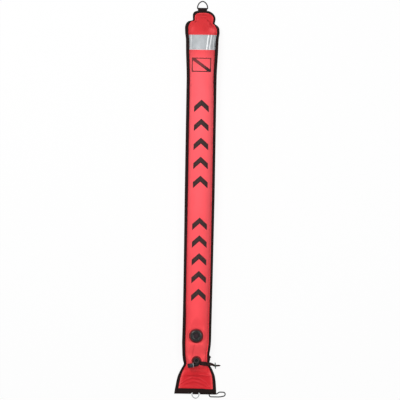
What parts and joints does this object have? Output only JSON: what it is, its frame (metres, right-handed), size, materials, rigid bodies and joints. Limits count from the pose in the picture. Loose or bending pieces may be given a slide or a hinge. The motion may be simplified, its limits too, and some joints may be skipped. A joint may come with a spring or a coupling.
{
  "type": "surface marker buoy",
  "caption": "Inflated tubular surface marker buoy of red coated fabric with black edge tape, relief valve, oral inflator, open mouth and a D-ring at each end.",
  "frame": {"origin": "on the flat underside of the back panel, halfway along the buoy and on the centre line of its body", "axes": "+Y along the body towards the head ring, +Z out of the front face with the valve and the inflator, +X towards the side where the closing strap hangs"},
  "size_m": [0.2322, 1.8, 0.1025],
  "materials": {
    "fabric_red": "satin",
    "patch_red": "satin",
    "film_red": "gloss",
    "webbing_black": "matte",
    "elastic_grey": "matte",
    "reflective_tape": "satin",
    "steel": "satin",
    "steel_black": "satin",
    "plastic_black": "satin",
    "plastic_brown": "satin",
    "plastic_grey": "satin",
    "plastic_green": "satin",
    "rubber_teal": "satin",
    "rubber_black": "matte"
  },
  "bodies": {
    "buoy": {"front_panel": "fabric_red", "back_panel": "fabric_red", "edge_binding": "webbing_black", "front_hem_tape": "webbing_black", "back_hem_tape": "webbing_black", "reflective_band": "reflective_tape", "front_baffle": "film_red", "back_baffle": "film_red", "head_tab": "webbing_black", "tail_tab": "webbing_black", "loop_tape": "webbing_black", "elastic_loop": "elastic_grey", "valve_patch": "patch_red", "valve_base": "plastic_black", "valve_spring": "steel", "valve_cap": "plastic_black", "inflator_patch": "patch_red", "inflator_base": "plastic_black", "inflator_seal": "rubber_black", "inflator_elbow": "plastic_black", "inflator_nut": "plastic_brown", "inflator_spring": "steel", "closing_strap": "rubber_black", "toggle_bar": "plastic_green"},
    "head_ring": {"head_ring": "steel_black"},
    "tail_ring": {"tail_ring": "steel"},
    "poppet": {"valve_poppet": "plastic_black", "valve_seal": "rubber_black", "valve_knob": "plastic_black"},
    "mouthpiece": {"inflator_mouthpiece": "rubber_teal", "inflator_plunger": "plastic_black", "plunger_seal": "rubber_black"},
    "lock_ring": {"inflator_lock_ring": "plastic_grey"}
  },
  "joints": [
    {"name": "head_ring_swing", "type": "hinge", "parent": "buoy", "child": "head_ring", "pos_m": [0.0015, 0.8645, 0.0043], "axis": [1, 0, 0], "range_deg": [-140, 140]},
    {"name": "tail_ring_swing", "type": "hinge", "parent": "buoy", "child": "tail_ring", "pos_m": [-0.002, -0.8775, 0.0035], "axis": [1, 0, 0], "range_deg": [-110, 110]},
    {"name": "valve_pull", "type": "slide", "parent": "buoy", "child": "poppet", "axis": [0, 0, 1], "range_m": [0, 0.003], "stiffness_N_per_m": 1500, "springref_m": -0.003, "deforming": ["valve_spring"]},
    {"name": "mouthpiece_push", "type": "slide", "parent": "buoy", "child": "mouthpiece", "axis": [0.9863, 0.165, 0], "range_m": [0, 0.003], "stiffness_N_per_m": 1500, "springref_m": -0.003},
    {"name": "lock_ring_turn", "type": "hinge", "parent": "buoy", "child": "lock_ring", "pos_m": [0.0035, -0.7454, 0.06455], "axis": [-0.9863, -0.165, 0], "range_deg": [0, 90]}
  ]
}
